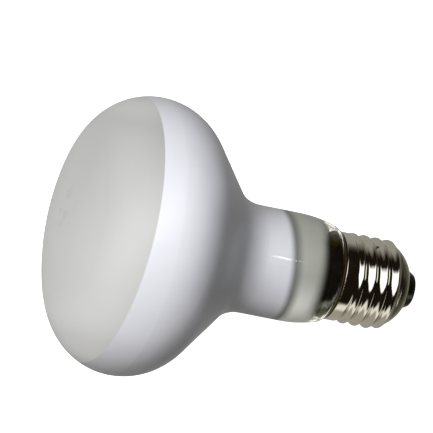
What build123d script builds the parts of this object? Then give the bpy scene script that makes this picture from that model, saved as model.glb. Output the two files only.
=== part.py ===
"""Basking spot lamp: an internally silvered reflector bulb with a screw cap.

The lamp's axis is Z. The origin is the middle of the centre contact's end face, and +Z points to the
frosted face of the bulb. All sizes are millimetres.
"""
import os
from math import cos, radians, sin, sqrt

from build123d import *

# Envelope, blown in one piece
overall_length = 108.0
bulb_diameter = 80.0
widest_height = 85.0
face_edge_radius = 19.3
back_radius = 20.3
cone_angle = 50.3
shoulder_radius = 10.8
neck_diameter = 31.4
neck_taper_radius = 36.6
neck_taper_angle = 16.3
neck_end_radius = 4.0
seal_diameter = 22.0
seal_curve_radius = 1.6
seal_length = 1.0
glass_wall = 0.8

# Screw shell of the cap
cap_length = 25.0
sheet = 0.3
skirt_diameter = 25.6
skirt_length = 2.75
rim_edge_radius = 0.2
thread_major_diameter = 26.2
thread_minor_diameter = 24.1
thread_pitch = 3.629
thread_bottom = 7.0
thread_fade_turns = 0.6
thread_start_angle = 175.0
sections_per_turn = 12
cap_shoulder_height = 9.6
cap_shoulder_radius = 4.9
cap_shoulder_angle = 34.0
cap_dome_radius = 11.3
mouth_diameter = 12.7

# Cement between the neck and the shell
rim_gap = 0.4
cement_below_rim = 0.4
cement_above_seal_end = 0.5

# Insulator and centre contact
insulator_top = 10.5
insulator_lip = 1.2
insulator_floor = 5.0
insulator_end_diameter = 8.2
insulator_edge_radius = 0.85
insulator_taper_angle = 30.0
contact_diameter = 6.4
contact_height = 0.9
contact_proud = 0.2
contact_edge_radius = 0.15
eyelet_bore_diameter = 2.4
eyelet_wall = 0.3
eyelet_length = 1.6

# Stem: flare, tube and press
stem_wall = 0.8
stem_foot_height = 0.8
stem_trough = 1.6
stem_tube_diameter = 9.2
flare_height = 9.0
press_bottom = 40.0
press_taper = 5.0
press_height = 9.0
press_thickness = 3.4

# Exhaust tube
exhaust_diameter = 3.8
exhaust_bore_diameter = 2.4
exhaust_tip_height = 12.0
exhaust_tip_length = 4.0

# Filament and what carries it
filament_height = 64.0
filament_ring_diameter = 18.0
filament_diameter = 0.9
filament_span = 240.0
filament_middle_angle = 90.0
post_diameter = 2.6
post_length = 8.0
button_diameter = 4.6
button_height = 3.0
support_diameter = 0.4
support_angles = (30.0, 90.0, 150.0)
support_root_radius = 0.8
support_upright = 1.5

# Lead wires
wire_diameter = 0.3
wire_spread = 5.7
wire_upright = 3.0
wire_above_press = 3.0
wire_below_stem = 1.5
wire_leaves_axis = 5.0
wire_joins_spread = 10.0
wire_end_height = 0.6
wire_below_rim = 0.2
solder_radius = 1.0

# Values worked out from the sizes above
bulb_radius = bulb_diameter / 2
neck_radius = neck_diameter / 2
seal_radius = seal_diameter / 2
skirt_radius = skirt_diameter / 2
skirt_bore_radius = skirt_radius - sheet
root_radius = thread_minor_diameter / 2
shell_bore_radius = root_radius - sheet
thread_offset = (thread_major_diameter - thread_minor_diameter) / 4
thread_top = cap_length - skirt_length
skirt_step_bottom = thread_top - (skirt_bore_radius - shell_bore_radius)
neck_rim_radius = skirt_bore_radius - rim_gap
neck_curves_apart = neck_taper_radius - neck_end_radius
neck_end_middle = neck_radius - neck_taper_radius + neck_curves_apart * cos(radians(neck_taper_angle))
neck_end_height = cap_length + sqrt(neck_end_radius**2 - (neck_rim_radius - neck_end_middle) ** 2)
neck_taper_height = neck_end_height + neck_curves_apart * sin(radians(neck_taper_angle))
seal_curves_apart = neck_end_radius + seal_curve_radius
neck_end_cosine = (seal_radius + seal_curve_radius - neck_end_middle) / seal_curves_apart
neck_end_sine = sqrt(1 - neck_end_cosine**2)
seal_height = neck_end_height - seal_curves_apart * neck_end_sine - seal_length
stem_tube_radius = stem_tube_diameter / 2
press_top = press_bottom + press_height
button_bottom = press_top + post_length
button_top = button_bottom + button_height
filament_ring_radius = filament_ring_diameter / 2
contact_radius = contact_diameter / 2
eyelet_bore_radius = eyelet_bore_diameter / 2
eyelet_radius = eyelet_bore_radius + eyelet_wall

OUT = (1.0, 0.0)
UP = (0.0, 1.0)
DOWN = (0.0, -1.0)


def place(centre, direction, distance):
    """The point at a distance from a centre along a direction, as radius and height."""
    return (centre[0] + direction[0] * distance, centre[1] + direction[1] * distance)


def facing_down(angle):
    """The unit direction that is turned down from the outward radius by an angle."""
    return (cos(radians(angle)), -sin(radians(angle)))


def arc(centre, radius, first, last):
    """The arc about a centre between two directions, or their opposites if the radius is negative."""
    length = sqrt((first[0] + last[0]) ** 2 + (first[1] + last[1]) ** 2)
    middle = ((first[0] + last[0]) / length, (first[1] + last[1]) / length)
    return ThreePointArc(*(place(centre, direction, radius) for direction in (first, middle, last)))


def turned(*edges):
    """The solid turned about Z from edges that close an outline of radius and height."""
    return revolve(Plane.XZ * make_face(list(edges)), Axis.Z)


def at_height(height):
    return Pos(0, 0, height)


def ease(share):
    """A smooth step from 0 to 1."""
    share = min(max(share, 0.0), 1.0)
    return share * share * (3 - 2 * share)


def envelope_outline(inset):
    """The envelope's outline from its apex to its seal, moved into the glass by an inset."""
    rise = overall_length - widest_height
    crown_span = bulb_radius**2 + rise**2 - 2 * bulb_radius * face_edge_radius
    crown_radius = crown_span / (2 * (rise - face_edge_radius))
    crown_centre = (0.0, overall_length - crown_radius)
    edge_centre = (bulb_radius - face_edge_radius, widest_height)
    crown_end = (
        (edge_centre[0] - crown_centre[0]) / (crown_radius - face_edge_radius),
        (edge_centre[1] - crown_centre[1]) / (crown_radius - face_edge_radius),
    )
    back_centre = (bulb_radius - back_radius, widest_height)
    cone = facing_down(cone_angle)
    shoulder_middle = neck_radius + shoulder_radius
    shoulder_reach = (shoulder_middle - back_centre[0]) * cone[0] - shoulder_radius - back_radius
    shoulder_centre = (shoulder_middle, widest_height - shoulder_reach / cone[1])
    taper_centre = (neck_radius - neck_taper_radius, neck_taper_height)
    taper_end = facing_down(neck_taper_angle)
    end_centre = (neck_end_middle, neck_end_height)
    end_slope = (neck_end_cosine, -neck_end_sine)
    seal_centre = (seal_radius + seal_curve_radius, seal_height + seal_length)

    crown = arc(crown_centre, crown_radius - inset, UP, crown_end)
    face_edge = arc(edge_centre, face_edge_radius - inset, crown_end, OUT)
    back = arc(back_centre, back_radius - inset, OUT, cone)
    shoulder = arc(shoulder_centre, -shoulder_radius - inset, cone, OUT)
    neck_taper = arc(taper_centre, neck_taper_radius - inset, OUT, taper_end)
    neck_end = arc(end_centre, neck_end_radius - inset, taper_end, end_slope)
    seal_curve = arc(seal_centre, -seal_curve_radius - inset, end_slope, OUT)
    reflector = Line(back @ 1, shoulder @ 0)
    neck = Line(shoulder @ 1, neck_taper @ 0)
    seal = Line(seal_curve @ 1, (seal_radius - inset, seal_height))
    return [crown, face_edge, back, reflector, shoulder, neck, neck_taper, neck_end, seal_curve, seal]


def make_envelope():
    """The blown glass, open at its lower end where the stem is sealed on."""
    outside = envelope_outline(0)
    inside = envelope_outline(glass_wall)
    seal_end = Line(outside[-1] @ 1, inside[-1] @ 1)
    apex = Line(outside[0] @ 0, inside[0] @ 0)
    return turned(*outside, seal_end, *inside, apex)


def make_filled_envelope():
    """The space inside the glass's outer surface, which cuts what fits round the neck."""
    outside = envelope_outline(0)
    floor_middle = (0, seal_height)
    return turned(*outside, Line(outside[-1] @ 1, floor_middle), Line(floor_middle, outside[0] @ 0))


def cap_end_outline(inset):
    """The cap's rounded end as shoulder and dome down to the mouth, moved into the sheet by an inset."""
    shoulder_centre = (root_radius - cap_shoulder_radius, cap_shoulder_height)
    shoulder_end = facing_down(cap_shoulder_angle)
    dome_centre = place(shoulder_centre, shoulder_end, cap_shoulder_radius - cap_dome_radius)
    mouth_cosine = (mouth_diameter / 2 - dome_centre[0]) / cap_dome_radius
    mouth_slope = (mouth_cosine, -sqrt(1 - mouth_cosine**2))
    shoulder = arc(shoulder_centre, cap_shoulder_radius - inset, OUT, shoulder_end)
    dome = arc(dome_centre, cap_dome_radius - inset, shoulder_end, mouth_slope)
    return shoulder, dome


def root_radius_at(height):
    """The radius at the bottom of the thread's grooves, which run out on the cap's shoulder."""
    drop = max(cap_shoulder_height - height, 0.0)
    return root_radius - cap_shoulder_radius + sqrt(cap_shoulder_radius**2 - drop**2)


def thread_section(height):
    """The shell's round section, off the axis by an amount that turns with height and makes the thread."""
    fade = thread_fade_turns * thread_pitch
    below_skirt = ease((thread_top - height) / fade)
    above_end = ease((height - thread_bottom) / fade)
    root = skirt_radius + (root_radius_at(height) - skirt_radius) * below_skirt
    ridge = thread_offset * below_skirt * above_end
    turn = thread_start_angle + 360 * (height - thread_bottom) / thread_pitch
    return Pos(Vector(ridge, 0, height).rotate(Axis.Z, turn)) * Circle(root + ridge)


def make_screw_shell():
    """The sheet shell: plain skirt, rolled thread, and a rounded end round the insulator."""
    shoulder, dome = cap_end_outline(0)
    shoulder_inside, dome_inside = cap_end_outline(sheet)
    mouth_inside = dome_inside @ 1
    floor_middle = (0, mouth_inside.Y)
    end_outline = Polyline(dome @ 1, mouth_inside, floor_middle, (0, cap_shoulder_height), shoulder @ 0)
    end = split(turned(shoulder, dome, end_outline), Plane.XY.offset(thread_bottom), Keep.BOTTOM)
    steps = round((thread_top - thread_bottom) / thread_pitch * sections_per_turn)
    rise = (thread_top - thread_bottom) / steps
    thread = loft([thread_section(thread_bottom + rise * step) for step in range(steps + 1)])
    skirt = extrude(at_height(thread_top) * Circle(skirt_radius), skirt_length)
    skirt = fillet(skirt.edges().sort_by(Axis.Z)[-1], rim_edge_radius)
    bore_outline = Polyline(
        mouth_inside,
        floor_middle,
        (0, cap_length),
        (skirt_bore_radius, cap_length),
        (skirt_bore_radius, thread_top),
        (shell_bore_radius, skirt_step_bottom),
        shoulder_inside @ 0,
    )
    return end + thread + skirt - turned(shoulder_inside, dome_inside, bore_outline)


def make_insulator():
    """The black glass in the shell's end: a tapered boss outside, a bowl inside, and the contact's seat."""
    shoulder, dome = cap_end_outline(sheet)
    edge_centre = (insulator_end_diameter / 2, contact_proud + insulator_edge_radius)
    edge = arc(edge_centre, insulator_edge_radius, facing_down(insulator_taper_angle), DOWN)
    taper = Line(dome @ 1, edge @ 0)
    inside = Polyline(
        edge @ 1,
        (contact_radius, contact_proud),
        (contact_radius, contact_height),
        (eyelet_radius, contact_height),
        (eyelet_radius, insulator_floor),
        (shell_bore_radius - insulator_lip, insulator_top),
        (shell_bore_radius, insulator_top),
        shoulder @ 0,
    )
    return turned(shoulder, dome, taper, edge, inside)


def make_centre_contact():
    """The contact plate with a rounded edge, and its eyelet in the insulator's bore."""
    edge_centre = (contact_radius - contact_edge_radius, contact_edge_radius)
    edge = arc(edge_centre, contact_edge_radius, DOWN, OUT)
    rest = Polyline(
        edge @ 1,
        (contact_radius, contact_height),
        (eyelet_radius, contact_height),
        (eyelet_radius, contact_height + eyelet_length),
        (eyelet_bore_radius, contact_height + eyelet_length),
        (eyelet_bore_radius, 0),
        edge @ 0,
    )
    return turned(edge, rest)


def make_stem():
    """The glass stem: a foot at the seal, a conical flare, a tube and the flat press that closes it."""
    foot_bottom = seal_height - stem_foot_height
    cone_foot_radius = seal_radius - glass_wall - stem_trough
    tube_bore_radius = stem_tube_radius - stem_wall
    flare_top = seal_height + flare_height
    flare = turned(
        Polyline(
            (seal_radius, seal_height),
            (seal_radius, foot_bottom),
            (cone_foot_radius - stem_wall, foot_bottom),
            (tube_bore_radius, flare_top),
            (tube_bore_radius, press_bottom),
            (stem_tube_radius, press_bottom),
            (stem_tube_radius, flare_top),
            (cone_foot_radius, seal_height),
            close=True,
        )
    )
    flat = SlotOverall(stem_tube_diameter, press_thickness)
    flat_bottom = press_bottom + press_taper
    squeeze = loft([at_height(press_bottom) * Circle(stem_tube_radius), at_height(flat_bottom) * flat])
    press = extrude(at_height(flat_bottom) * flat, press_height - press_taper)
    return flare + squeeze + press


def make_exhaust_tube():
    """The exhaust tube under the press, drawn to a closed tip."""
    radius = exhaust_diameter / 2
    bore_radius = exhaust_bore_diameter / 2
    tip_wall = radius - bore_radius
    tip_top = exhaust_tip_height + exhaust_tip_length
    return turned(
        Polyline(
            (0, exhaust_tip_height),
            (tip_wall, exhaust_tip_height),
            (radius, tip_top),
            (radius, press_bottom),
            (bore_radius, press_bottom),
            (bore_radius, tip_top),
            (0, exhaust_tip_height + tip_wall),
            close=True,
        )
    )


def rod(diameter, *points):
    """A round rod along straight runs with sharp bends."""
    path = Polyline(*points)
    section = Plane(origin=path @ 0, z_dir=path % 0) * Circle(diameter / 2)
    return sweep(section, path, transition=Transition.RIGHT)


def ring_point(angle):
    """A point on the ring that the filament's corners lie on."""
    return Vector(filament_ring_radius, 0, filament_height).rotate(Axis.Z, angle)


def make_filament():
    """The outer form of the coiled wire, which runs straight from hook to hook."""
    first = ring_point(filament_middle_angle - filament_span / 2)
    last = ring_point(filament_middle_angle + filament_span / 2)
    return rod(filament_diameter, first, *(ring_point(angle) for angle in support_angles), last)


def make_supports(filament):
    """The hooks that stand on the button and reach the filament's corners."""
    hooks = []
    for angle in support_angles:
        root = Vector(support_root_radius, 0, button_top).rotate(Axis.Z, angle)
        bend = root + Vector(0, 0, support_upright)
        hooks.append(rod(support_diameter, root, bend, ring_point(angle)) - filament)
    return hooks


def make_post():
    """The glass rod on the press, with the button that holds the hooks."""
    post_radius = post_diameter / 2
    button_radius = button_diameter / 2
    button_middle = button_bottom + button_height / 2
    side = ThreePointArc(
        (post_radius, button_bottom),
        (button_radius, button_middle),
        (post_radius, button_top),
    )
    rest = Polyline(side @ 1, (0, button_top), (0, press_top), (post_radius, press_top), side @ 0)
    return turned(side, rest)


def upper_lead(side):
    """The points of a lead from the filament down to the press, on one side of the axis."""
    filament_end = ring_point(filament_middle_angle - side * filament_span / 2)
    grip = filament_end - Vector(0, 0, filament_diameter / 2)
    return [
        grip,
        grip - Vector(0, 0, wire_upright),
        Vector(side * wire_spread / 2, 0, press_top + wire_above_press),
    ]


def make_centre_lead():
    """The lead from the filament to the solder in the centre contact."""
    lower = [
        (wire_spread / 2, 0, wire_joins_spread),
        (0, 0, wire_leaves_axis),
        (0, 0, wire_end_height),
    ]
    return rod(wire_diameter, *upper_lead(1), *lower)


def make_side_lead():
    """The lead from the filament, under the stem and up beside the neck, to the rim's solder."""
    beside_neck = -(seal_radius + shell_bore_radius) / 2
    under_stem = seal_height - stem_foot_height - wire_below_stem
    lower = [
        (-wire_spread / 2, 0, under_stem),
        (beside_neck, 0, under_stem),
        (beside_neck, 0, seal_height + seal_length),
        (-(neck_rim_radius + rim_gap / 2), 0, cap_length - wire_below_rim),
    ]
    return rod(wire_diameter, *upper_lead(-1), *lower)


def make_cement():
    """The cement ring that fills the gap between the neck and the shell."""
    bottom = seal_height + cement_above_seal_end
    top = cap_length - cement_below_rim
    middle = seal_radius - glass_wall
    return turned(
        Polyline(
            (middle, bottom),
            (shell_bore_radius, bottom),
            (shell_bore_radius, skirt_step_bottom),
            (skirt_bore_radius, thread_top),
            (skirt_bore_radius, top),
            (middle, top),
            close=True,
        )
    )


filled_envelope = make_filled_envelope()
filament = make_filament()
supports = make_supports(filament)
centre_lead = make_centre_lead()
side_lead = make_side_lead()
screw_shell = make_screw_shell()
cement = make_cement() - filled_envelope - side_lead
eyelet_height = contact_height + eyelet_length
centre_solder = extrude(Circle(eyelet_bore_radius), eyelet_height) - centre_lead
rim_drop = Pos(-(skirt_radius - sheet / 2), 0, cap_length) * Sphere(solder_radius)

nodes = {
    "glass_envelope": make_envelope(),
    "screw_shell": screw_shell,
    "insulator": make_insulator(),
    "centre_contact": make_centre_contact(),
    "centre_solder": centre_solder,
    "side_solder": rim_drop - screw_shell - filled_envelope - cement - side_lead,
    "capping_cement": cement,
    "stem": make_stem() - centre_lead - side_lead,
    "exhaust_tube": make_exhaust_tube(),
    "filament_post": make_post(),
    "lead_wire_centre": centre_lead,
    "lead_wire_side": side_lead,
    "filament": filament,
    "filament_supports": Compound(supports),
}

os.makedirs("parts", exist_ok=True)
for name, solid in nodes.items():
    export_step(solid, f"parts/{name}.step")
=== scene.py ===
"""Looks of the basking lamp: finishes for its glass, cap and inner pieces, a white floor, light and a camera.

The lamp's axis is Z, with the cap down. The camera stands on the +X side, and +Y is up in its picture.
Lengths are metres and angles are degrees.
"""
from math import cos, radians, sin, tan

import bpy
from mathutils import Matrix, Vector


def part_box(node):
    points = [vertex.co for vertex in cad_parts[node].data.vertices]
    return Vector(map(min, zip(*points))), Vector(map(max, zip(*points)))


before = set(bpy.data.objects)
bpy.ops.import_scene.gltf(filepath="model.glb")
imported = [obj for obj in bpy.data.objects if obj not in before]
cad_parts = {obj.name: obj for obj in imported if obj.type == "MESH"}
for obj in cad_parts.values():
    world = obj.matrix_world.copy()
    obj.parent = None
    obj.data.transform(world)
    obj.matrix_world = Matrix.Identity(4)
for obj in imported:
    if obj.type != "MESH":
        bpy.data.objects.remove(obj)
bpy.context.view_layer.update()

MM = 0.001

# Heights along the axis, from the frame
rim_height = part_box("screw_shell")[1].z
apex_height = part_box("glass_envelope")[1].z

# Edges of the coating inside the glass: height above the contact, tilt towards +Y, and softness
face_edge_height = 92.25 * MM
face_edge_tilt = 2.4
face_edge_softness = 0.15 * MM
silver_end_height = 41.0 * MM
silver_end_tilt = -6.2
silver_end_softness = 0.5 * MM
frost_end_height = 31.8 * MM
frost_end_tilt = -3.2
frost_end_softness = 1.6 * MM

# The frost's colour ends lower than the frost, where the glass is nearly clear already
haze_drop = 1.4 * MM
haze_softness = 0.3 * MM

# The silver fades out over a dark fringe
fringe_reach = 2.6 * MM
fringe_tone = (0.16, 0.16, 0.15)

# The glass counts as inside the cap, and is painted dark there, up to just above the shell's rim
cap_edge_height = rim_height + 0.9 * MM
cap_edge_softness = 0.1 * MM

# Marks of use: place, radius of the whole mark and radius of its full strength
smudge_place = Vector((3.0, 4.0, 107.6)) * MM
smudge_radius = 9.0 * MM
smudge_core = 4.0 * MM
nick_place = Vector((6.2, 10.4, 14.9)) * MM
nick_radius = 0.75 * MM
nick_core = 0.35 * MM

# Index of refraction of the lamp's glass
glass_index = 1.5

# Camera, fitted to the outline in the photograph
picture_pixels = 433
sensor_width = 36.0
focal_pixels = 5379.8
view_angle = 70.855
picture_tilt = 11.329
aim_height = 87.76 * MM
aim_pixel = (126.083, 234.284)
aim_distance = 1519.4 * MM
clip_start = 0.05
clip_end = 20.0

# Soft lights: their usual distance from the lamp's middle and their usual width
light_distance = 1.5
light_width = 1.5

# Most of a noise texture's values lie between these two
noise_low = 0.3
noise_high = 0.7

# Places of a mix node's sockets: the two that it mixes and its result, for numbers and for colours
number_inputs = slice(2, 4)
number_output = 0
colour_inputs = slice(6, 8)
colour_output = 2


def mm(*lengths):
    """Millimetres as metres."""
    return [length * MM for length in lengths]


def material(name):
    """A new material with its node tree and its surface shader."""
    made = bpy.data.materials.new(name)
    made.use_nodes = True
    return made, made.node_tree, made.node_tree.nodes["Principled BSDF"]


def feed(tree, socket, value):
    """Links a socket to another node's output, or sets it to a number or a colour."""
    if isinstance(value, bpy.types.NodeSocket):
        tree.links.new(value, socket)
    elif isinstance(value, tuple):
        socket.default_value = (*value, 1.0)
    else:
        socket.default_value = value


def join(tree, shader, **sockets):
    """Sets or links sockets of a shader by name."""
    for name, value in sockets.items():
        feed(tree, shader.inputs[name.replace("_", " ")], value)


def place(tree):
    """The position on the piece, in metres in the lamp's frame."""
    return tree.nodes.new("ShaderNodeTexCoord").outputs["Object"]


def parts(tree, vector):
    """The X, Y and Z parts of a vector, by name."""
    made = tree.nodes.new("ShaderNodeSeparateXYZ")
    tree.links.new(vector, made.inputs[0])
    return made.outputs


def maths(tree, operation, first, second=0.0, third=0.0):
    """The result of one operation on up to three numbers."""
    made = tree.nodes.new("ShaderNodeMath")
    made.operation = operation
    for socket, value in zip(made.inputs, (first, second, third)):
        feed(tree, socket, value)
    return made.outputs[0]


def times(tree, first, second):
    """The product of two numbers."""
    return maths(tree, "MULTIPLY", first, second)


def minus(tree, first, second):
    """The difference of two numbers."""
    return maths(tree, "SUBTRACT", first, second)


def step(tree, value, start, end):
    """A smooth step from 0 at start to 1 at end."""
    made = tree.nodes.new("ShaderNodeMapRange")
    made.interpolation_type = "SMOOTHSTEP"
    tree.links.new(value, made.inputs["Value"])
    made.inputs["From Min"].default_value = start
    made.inputs["From Max"].default_value = end
    return made.outputs["Result"]


def between(tree, value, low, high, softness):
    """1 between two values and 0 beyond them."""
    start = step(tree, value, low - softness, low + softness)
    return minus(tree, start, step(tree, value, high - softness, high + softness))


def near(tree, spot, radius, core):
    """1 within a core around a spot, fading to 0 at a larger radius."""
    away = tree.nodes.new("ShaderNodeVectorMath")
    away.operation = "DISTANCE"
    tree.links.new(place(tree), away.inputs[0])
    away.inputs[1].default_value = spot
    return step(tree, away.outputs["Value"], radius, core)


def noise(tree, lumps, detail=3.0):
    """Cloudy noise between 0 and 1, with so many lumps a metre."""
    made = tree.nodes.new("ShaderNodeTexNoise")
    made.inputs["Scale"].default_value = lumps
    made.inputs["Detail"].default_value = detail
    tree.links.new(place(tree), made.inputs["Vector"])
    return made.outputs["Fac"]


def spread(tree, value, low, high):
    """Noise turned into a value from low to high."""
    made = tree.nodes.new("ShaderNodeMapRange")
    tree.links.new(value, made.inputs["Value"])
    made.inputs["From Min"].default_value = noise_low
    made.inputs["From Max"].default_value = noise_high
    made.inputs["To Min"].default_value = low
    made.inputs["To Max"].default_value = high
    return made.outputs["Result"]


def blend(tree, share, first, second):
    """A mix of two colours by a share."""
    made = tree.nodes.new("ShaderNodeMix")
    made.data_type = "RGBA"
    tree.links.new(share, made.inputs["Factor"])
    for socket, value in zip(made.inputs[colour_inputs], (first, second)):
        feed(tree, socket, value)
    return made.outputs[colour_output]


def mix_value(tree, share, first, second):
    """A mix of two numbers by a share."""
    made = tree.nodes.new("ShaderNodeMix")
    tree.links.new(share, made.inputs["Factor"])
    for socket, value in zip(made.inputs[number_inputs], (first, second)):
        feed(tree, socket, value)
    return made.outputs[number_output]


def bump(tree, height, depth):
    """A bump of a height map, with its depth in metres."""
    made = tree.nodes.new("ShaderNodeBump")
    made.inputs["Strength"].default_value = 1.0
    made.inputs["Distance"].default_value = depth
    tree.links.new(height, made.inputs["Height"])
    return made.outputs["Normal"]


def tilted_height(tree, tilt):
    """The height along the axis, with its level planes tilted towards +Y."""
    position = parts(tree, place(tree))
    return maths(tree, "MULTIPLY_ADD", position["Y"], tan(radians(tilt)), position["Z"])


def above(tree, level, tilt, softness):
    """1 above a tilted plane and 0 below it."""
    return step(tree, tilted_height(tree, tilt), level - softness, level + softness)


def silver_fringe(tree):
    """1 where the silver ends, fading to 0 on both sides."""
    half = fringe_reach / 2
    height = tilted_height(tree, silver_end_tilt)
    return between(tree, height, silver_end_height - half, silver_end_height + half, half)


def smudge(tree):
    """The share of the smudge on the face: a patchy spot."""
    strength = 0.11
    patches = step(tree, noise(tree, lumps=250.0), 0.45, 0.62)
    return times(tree, times(tree, near(tree, smudge_place, smudge_radius, smudge_core), patches), strength)


def face_colour(tree, cloud):
    """The frosted face: painted light makes it lighter on its lower and far sides and at its limbs, with
    clouds and a smudge.
    """
    # Painted light: the upper, lower, lowest, far and limb tones lighten or darken the face by where light
    # falls
    upper_tone = (0.425, 0.425, 0.416)
    lower_tone = (0.565, 0.565, 0.555)
    lowest_painted_light_tone = (0.66, 0.66, 0.65)
    far_tone = (0.93, 0.93, 0.92)
    far_painted_light_share = 0.24
    cloud_tone = (0.54, 0.54, 0.53)
    cloud_share = 0.15
    limb_painted_light_tone = (0.96, 0.96, 0.95)
    upper_limb_painted_light_share = 0.37
    lower_limb_painted_light_gain = 0.5
    smudge_tone = (0.20, 0.20, 0.19)

    position = parts(tree, place(tree))
    # Painted light: lighter towards the lower side, the lowest part, the far side and the limbs; clouds and
    # smudge are the face's own
    lower = step(tree, position["Y"], *mm(28.0, -28.0))
    colour = blend(tree, lower, upper_tone, lower_tone)
    lowest = step(tree, position["Y"], *mm(-14.0, -34.0))
    colour = blend(tree, lowest, colour, lowest_painted_light_tone)
    far = step(tree, position["X"], *mm(14.0, -20.0))
    colour = blend(tree, times(tree, far, far_painted_light_share), colour, far_tone)
    colour = blend(tree, times(tree, cloud, cloud_share), colour, cloud_tone)
    limb = step(tree, maths(tree, "ABSOLUTE", position["Y"]), *mm(30.0, 39.0))
    limb_painted_light_share = maths(tree, "MULTIPLY_ADD", lower, lower_limb_painted_light_gain, upper_limb_painted_light_share)
    colour = blend(tree, times(tree, limb, limb_painted_light_share), colour, limb_painted_light_tone)
    return blend(tree, smudge(tree), colour, smudge_tone)


def silver_colour(tree, cloud):
    """Silvered glass: cool and pale, with painted shade next to the face, in the shoulder's middle and on the
    neck.
    """
    dark_tone = (0.79, 0.795, 0.85)
    light_tone = (0.83, 0.835, 0.89)
    face_side_painted_shade_tone = (0.715, 0.72, 0.77)
    shoulder_painted_shade_tone = (0.63, 0.635, 0.68)
    neck_painted_shade_tone = (0.69, 0.695, 0.745)

    position = parts(tree, place(tree))
    height = position["Z"]
    colour = blend(tree, cloud, dark_tone, light_tone)
    # Painted shade: darker next to the face, in the middle of the shoulder's hollow and on the neck
    face_side = step(tree, height, *mm(84.0, 93.0))
    colour = blend(tree, face_side, colour, face_side_painted_shade_tone)
    shoulder = times(tree, step(tree, height, *mm(80.0, 71.0)), step(tree, height, *mm(55.0, 62.0)))
    middle = step(tree, maths(tree, "ABSOLUTE", position["Y"]), *mm(20.0, 9.0))
    colour = blend(tree, times(tree, shoulder, middle), colour, shoulder_painted_shade_tone)
    neck = step(tree, height, *mm(58.0, 48.0))
    return blend(tree, neck, colour, neck_painted_shade_tone)


def neck_end_shares(tree):
    """Where the neck's end gets painted light on its lower side, where that light makes the painted dark
    inside olive, and where its frost is thin and gets painted shade.
    """
    thin_rise = 3.4 * MM
    thin_drop = 1.4 * MM

    position = parts(tree, place(tree))
    # Painted light on the lower side of the neck's end, olive where the painted dark inside shows
    bright = step(tree, position["Y"], *mm(-1.0, -14.0))
    olive = step(tree, position["Y"], *mm(-4.0, -14.0))
    low = step(tree, position["Z"], frost_end_height + thin_rise, frost_end_height - thin_drop)
    upper_limit = step(tree, position["Y"], *mm(12.5, 8.0))
    lower_limit = step(tree, position["Y"], *mm(-14.5, -9.5))
    thin = times(tree, low, times(tree, upper_limit, lower_limit))
    return bright, olive, thin


def band_colour(tree, cloud, bright, olive, thin):
    """The frosted band: grey, with painted light on its lower side, and painted shade where the frost is
    thin.
    """
    dark_tone = (0.30, 0.31, 0.275)
    light_tone = (0.34, 0.35, 0.315)
    lower_side_painted_light_tone = (0.76, 0.77, 0.72)
    thin_painted_shade_tone = (0.03, 0.027, 0.015)
    olive_thin_painted_tone = (0.085, 0.085, 0.025)

    colour = blend(tree, cloud, dark_tone, light_tone)
    # Painted light on the lower side, then painted shade where the frost is thin, lit olive on the lower side
    colour = blend(tree, bright, colour, lower_side_painted_light_tone)
    return blend(tree, thin, colour, blend(tree, olive, thin_painted_shade_tone, olive_thin_painted_tone))


def bare_colour(tree, free, olive):
    """The uncoated glass: clear, but painted dark where it stands in the cap, for the cement's brown and the
    shade there, lit olive on its lower side.
    """
    # Painted shade in the cap, with painted olive light on the lower side
    painted_cap_tone = (0.03, 0.02, 0.005)
    painted_olive_cap_tone = (0.10, 0.10, 0.03)
    clear_tone = (0.94, 0.95, 0.92)

    return blend(tree, free, blend(tree, olive, painted_cap_tone, painted_olive_cap_tone), clear_tone)


def painted_glow_colour(tree, free, bright, olive, thin):
    """A painted glow, for the faint light that comes through the frosted band and out of the cap."""
    painted_cap_tone = (0.010, 0.006, 0.0)
    painted_olive_cap_tone = (0.055, 0.055, 0.012)
    band_tone = (0.05, 0.05, 0.045)
    bright_band_tone = (0.13, 0.13, 0.115)
    black = (0.0, 0.0, 0.0)

    in_cap = blend(tree, olive, painted_cap_tone, painted_olive_cap_tone)
    in_band = blend(tree, thin, blend(tree, bright, band_tone, bright_band_tone), black)
    return blend(tree, free, in_cap, in_band)


def coated_glass():
    """Glass with a frosted face, a silvered flank and neck, a frosted band and a clear end above the cap,
    painted dark in the cap, with painted light, shade and glow.
    """
    silver_metal_share = 0.02
    coated_roughness = 0.5
    frost_coat = 0.25
    face_coat = 0.06

    made, tree, shader = material("coated_glass")
    face = above(tree, face_edge_height, face_edge_tilt, face_edge_softness)
    silver = above(tree, silver_end_height, silver_end_tilt, silver_end_softness)
    frost = above(tree, frost_end_height, frost_end_tilt, frost_end_softness)
    hazy = above(tree, frost_end_height - haze_drop, frost_end_tilt, haze_softness)
    free = above(tree, cap_edge_height, 0.0, cap_edge_softness)
    cloud = spread(tree, noise(tree, lumps=60.0), low=0.0, high=1.0)
    bright, olive, thin = neck_end_shares(tree)

    colour = bare_colour(tree, free, olive)
    colour = blend(tree, hazy, colour, band_colour(tree, cloud, bright, olive, thin))
    colour = blend(tree, silver, colour, silver_colour(tree, cloud))
    colour = blend(tree, silver_fringe(tree), colour, fringe_tone)
    colour = blend(tree, face, colour, face_colour(tree, cloud))
    metal_share = times(tree, minus(tree, silver, face), silver_metal_share)
    clear = minus(tree, free, frost)
    rough = mix_value(tree, clear, coated_roughness, 0.0)
    join(tree, shader, Base_Color=colour, Metallic=metal_share, Roughness=rough, Transmission_Weight=clear)
    coat = mix_value(tree, face, times(tree, frost, frost_coat), face_coat)
    join(tree, shader, IOR=glass_index, Coat_Weight=coat, Coat_Roughness=0.04, Coat_IOR=glass_index)
    # Painted glow: the glass emits light in the cap and on the frosted band below the silver, though it is no
    # lamp
    painted_glow_strength = maths(tree, "ADD", minus(tree, 1.0, free), minus(tree, frost, silver))
    painted_glow_tone = painted_glow_colour(tree, free, bright, olive, thin)
    join(tree, shader, Emission_Color=painted_glow_tone, Emission_Strength=painted_glow_strength)
    return made


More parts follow.
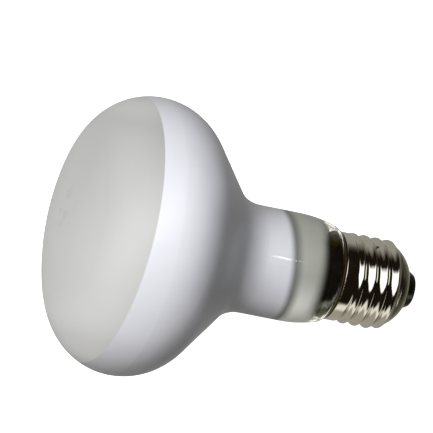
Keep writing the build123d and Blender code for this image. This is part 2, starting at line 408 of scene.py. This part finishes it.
def clear_glass():
    """Glass of the inner pieces: painted dark as the shade inside the bulb, hazy and only partly clear."""
    dark_tone = (0.03, 0.02, 0.008)
    light_tone = (0.06, 0.045, 0.02)

    made, tree, shader = material("clear_glass")
    # Painted shade: the glass is dark brown for the shade inside the bulb
    painted_shade_tint = blend(tree, noise(tree, lumps=120.0), dark_tone, light_tone)
    haze = spread(tree, noise(tree, lumps=200.0), low=0.45, high=0.60)
    join(tree, shader, Base_Color=painted_shade_tint, Roughness=haze)
    join(tree, shader, IOR=glass_index, Specular_IOR_Level=0.1, Transmission_Weight=0.3)
    return made


def nickel():
    """Nickel plate with a faint haze, shallow dents and one dark nick."""
    dark_tone = (0.62, 0.60, 0.54)
    light_tone = (0.70, 0.68, 0.62)
    nick_tone = (0.02, 0.017, 0.012)

    made, tree, shader = material("nickel")
    colour = blend(tree, noise(tree, lumps=250.0), dark_tone, light_tone)
    colour = blend(tree, near(tree, nick_place, nick_radius, nick_core), colour, nick_tone)
    rough = spread(tree, noise(tree, lumps=900.0), low=0.05, high=0.09)
    dents = bump(tree, noise(tree, lumps=220.0, detail=1.0), depth=0.10 * MM)
    join(tree, shader, Base_Color=colour, Metallic=1.0, Roughness=rough, Normal=dents)
    return made


def black_glass():
    """Black moulded glass with an uneven gloss."""
    dark_tone = (0.008, 0.007, 0.006)
    light_tone = (0.016, 0.014, 0.012)

    made, tree, shader = material("black_glass")
    colour = blend(tree, noise(tree, lumps=300.0), dark_tone, light_tone)
    rough = spread(tree, noise(tree, lumps=500.0), low=0.12, high=0.25)
    join(tree, shader, Base_Color=colour, Roughness=rough)
    return made


def metal(name, dark_tone, light_tone, low, high, lumps):
    """A metal with cloudy colour, a roughness from low to high and a fine grain."""
    made, tree, shader = material(name)
    colour = blend(tree, noise(tree, lumps), dark_tone, light_tone)
    rough = spread(tree, noise(tree, 3 * lumps), low, high)
    grain = bump(tree, noise(tree, 6 * lumps, detail=2.0), depth=0.01 * MM)
    join(tree, shader, Base_Color=colour, Metallic=1.0, Roughness=rough, Normal=grain)
    return made


def cement():
    """Baked cement: brown, matt and grainy."""
    dark_tone = (0.10, 0.06, 0.03)
    light_tone = (0.20, 0.13, 0.07)

    made, tree, shader = material("cement")
    colour = blend(tree, noise(tree, lumps=900.0), dark_tone, light_tone)
    rough = spread(tree, noise(tree, lumps=1500.0), low=0.7, high=0.95)
    grain = bump(tree, noise(tree, lumps=3000.0), depth=0.05 * MM)
    join(tree, shader, Base_Color=colour, Roughness=rough, Normal=grain)
    return made


def dress(finish, *names):
    """Gives CAD nodes a finish."""
    for name in names:
        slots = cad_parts[name].data.materials
        slots.clear()
        slots.append(finish)


def dress_lamp():
    """Gives every piece of the lamp its finish."""
    dress(coated_glass(), "glass_envelope")
    dress(nickel(), "screw_shell")
    dress(black_glass(), "insulator")
    brass = metal("contact_metal", (0.55, 0.48, 0.33), (0.66, 0.60, 0.44), low=0.2, high=0.4, lumps=300.0)
    dress(brass, "centre_contact")
    solder = metal("solder", (0.42, 0.42, 0.43), (0.60, 0.60, 0.60), low=0.3, high=0.55, lumps=900.0)
    dress(solder, "centre_solder", "side_solder")
    dress(cement(), "capping_cement")
    dress(clear_glass(), "stem", "exhaust_tube", "filament_post")
    wire = metal("lead_metal", (0.55, 0.36, 0.20), (0.66, 0.45, 0.27), low=0.25, high=0.4, lumps=900.0)
    dress(wire, "lead_wire_centre", "lead_wire_side")
    tungsten = metal("tungsten", (0.22, 0.22, 0.23), (0.32, 0.32, 0.33), low=0.35, high=0.5, lumps=900.0)
    dress(tungsten, "filament", "filament_supports")


def make_floor():
    """A floor that glows, so that it stays white. No piece mirrors it, and it lights no piece."""
    half = 4.0
    dark_tone = (0.80, 0.80, 0.80)
    light_tone = (0.84, 0.84, 0.84)
    white = (1.0, 1.0, 1.0)

    mesh = bpy.data.meshes.new("floor")
    corners = [(-half, -half, 0), (half, -half, 0), (half, half, 0), (-half, half, 0)]
    mesh.from_pydata(corners, [], [(0, 1, 2, 3)])
    floor = bpy.data.objects.new("floor", mesh)
    bpy.context.scene.collection.objects.link(floor)
    made, tree, shader = material("floor")
    tone = blend(tree, noise(tree, lumps=3.0), dark_tone, light_tone)
    join(tree, shader, Base_Color=tone, Roughness=0.9, Emission_Color=white, Emission_Strength=1.0)
    mesh.materials.append(made)
    floor.visible_glossy = False
    floor.visible_diffuse = False
    floor.visible_shadow = False
    floor.visible_transmission = False


def camera_axes():
    """The picture's right, up and back directions in the lamp's frame."""
    angle = radians(view_angle)
    tilt = radians(picture_tilt)
    back = Vector((sin(angle), 0, cos(angle)))
    beside = Vector((0, 1, 0))
    towards_face = back.cross(beside)
    right = -towards_face * cos(tilt) + beside * sin(tilt)
    up = back.cross(right)
    return right, up, back


def make_camera():
    """The camera that sees the lamp as the photograph does."""
    right, up, back = camera_axes()
    across = (aim_pixel[0] - picture_pixels / 2) / focal_pixels * aim_distance
    down = (aim_pixel[1] - picture_pixels / 2) / focal_pixels * aim_distance
    spot = Vector((0, 0, aim_height)) - right * across + up * down + back * aim_distance
    data = bpy.data.cameras.new("camera")
    data.sensor_width = sensor_width
    data.lens = focal_pixels * sensor_width / picture_pixels
    data.clip_start = clip_start
    data.clip_end = clip_end
    camera = bpy.data.objects.new("camera", data)
    camera.matrix_world = Matrix.Translation(spot) @ Matrix((right, up, back)).transposed().to_4x4()
    bpy.context.scene.collection.objects.link(camera)
    bpy.context.scene.camera = camera


def direction(azimuth, elevation):
    """The direction from the lamp at an azimuth around its axis and an elevation towards its face."""
    around = radians(azimuth)
    rise = radians(elevation)
    return Vector((cos(around) * cos(rise), sin(around) * cos(rise), sin(rise)))


def soft_light(name, azimuth, elevation, power, width=light_width, distance=light_distance):
    """A square soft light that faces the lamp. It shades, and the room is what polished pieces mirror."""
    towards = direction(azimuth, elevation)
    data = bpy.data.lights.new(name, "AREA")
    data.size = width
    data.energy = power
    light = bpy.data.objects.new(name, data)
    light.location = Vector((0, 0, apex_height / 2)) + towards * distance
    light.rotation_mode = "QUATERNION"
    light.rotation_quaternion = towards.to_track_quat("Z", "Y")
    light.visible_glossy = False
    light.visible_transmission = False
    bpy.context.scene.collection.objects.link(light)
    return light


def make_spark():
    """A thin light for the glass envelope alone, which mirrors it as a short streak."""
    spark = soft_light("spark", azimuth=15.4, elevation=-20.0, power=0.17, width=0.04, distance=1.517)
    spark.data.shape = "RECTANGLE"
    spark.data.size_y = 0.007
    spark.visible_glossy = True
    glass_only = bpy.data.collections.new("glass_only")
    glass_only.objects.link(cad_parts["glass_envelope"])
    spark.light_linking.receiver_collection = glass_only


def make_lights():
    """Soft lights around the lamp. The one at the back also shows through the clear glass."""
    soft_light("key", azimuth=13.0, elevation=39.0, power=29.4, width=0.6)
    soft_light("front", azimuth=0.0, elevation=-5.0, power=0.2)
    soft_light("above", azimuth=105.0, elevation=-55.0, power=3.0)
    soft_light("below", azimuth=-105.0, elevation=-55.0, power=2.9)
    soft_light("left", azimuth=180.0, elevation=50.0, power=6.5)
    back = soft_light("back", azimuth=180.0, elevation=-50.0, power=7.0)
    back.visible_transmission = True
    soft_light("behind", azimuth=180.0, elevation=-5.0, power=9.0, width=1.8)
    make_spark()


def room_sides(tree, towards, around, rise):
    """The room's sides: beige, grey at the far side, darker towards the cap's end, with a bright strip."""
    lower_tone = (0.45, 0.43, 0.365)
    upper_tone = (0.42, 0.40, 0.36)
    far_tone = (0.38, 0.38, 0.38)
    cap_side_tone = (0.08, 0.075, 0.052)
    far_cap_side_tone = (0.20, 0.19, 0.15)
    cap_end_tone = (0.02, 0.017, 0.012)
    strip_tone = (1.10, 1.07, 0.98)

    sides = blend(tree, step(tree, towards["Y"], -0.5, 0.5), lower_tone, upper_tone)
    sides = blend(tree, step(tree, towards["X"], -0.75, -0.92), sides, far_tone)
    far = step(tree, towards["X"], -0.35, -0.75)
    cap_sides = blend(tree, far, cap_side_tone, far_cap_side_tone)
    sides = blend(tree, step(tree, rise, -24.0, -42.0), sides, cap_sides)
    sides = blend(tree, step(tree, rise, -64.0, -80.0), sides, cap_end_tone)
    strip = between(tree, around, low=-95.0, high=-72.0, softness=8.0)
    return blend(tree, strip, sides, strip_tone)


def room_window(tree, towards, rise):
    """Where the window is: two slanted edges, two level ends, and only on the camera's side."""
    low_edge_slope = -0.0067
    low_edge_start = 0.09
    high_edge_slope = -0.0051
    high_edge_start = 0.69

    low_edge = maths(tree, "MULTIPLY_ADD", rise, low_edge_slope, low_edge_start)
    high_edge = maths(tree, "MULTIPLY_ADD", rise, high_edge_slope, high_edge_start)
    window = step(tree, minus(tree, towards["Y"], low_edge), -0.05, 0.05)
    window = times(tree, window, step(tree, minus(tree, high_edge, towards["Y"]), -0.08, 0.08))
    window = times(tree, window, between(tree, rise, low=-12.5, high=76.0, softness=6.0))
    return times(tree, window, step(tree, towards["X"], 0.0, 0.1))


def make_world():
    """The room that polished and clear pieces show: beige sides and a dark front with a bright window."""
    front_tone = (0.012, 0.009, 0.005)
    window_tone = (1.8, 1.8, 1.8)

    world = bpy.data.worlds.new("room")
    world.use_nodes = True
    tree = world.node_tree
    towards = parts(tree, tree.nodes.new("ShaderNodeTexCoord").outputs["Generated"])
    around = maths(tree, "DEGREES", maths(tree, "ARCTAN2", towards["Y"], towards["X"]))
    rise = maths(tree, "DEGREES", maths(tree, "ARCSINE", towards["Z"]))
    front = minus(tree, step(tree, around, -80.0, -64.0), step(tree, around, 74.0, 112.0))
    colour = blend(tree, front, room_sides(tree, towards, around, rise), front_tone)
    colour = blend(tree, room_window(tree, towards, rise), colour, window_tone)
    tree.links.new(colour, tree.nodes["Background"].inputs["Color"])
    bpy.context.scene.world = world
    # Its visibility can be set only once the scene has the world
    world.cycles_visibility.diffuse = False


dress_lamp()
make_floor()
make_camera()
make_world()
make_lights()
bpy.context.scene.view_settings.view_transform = "Standard"
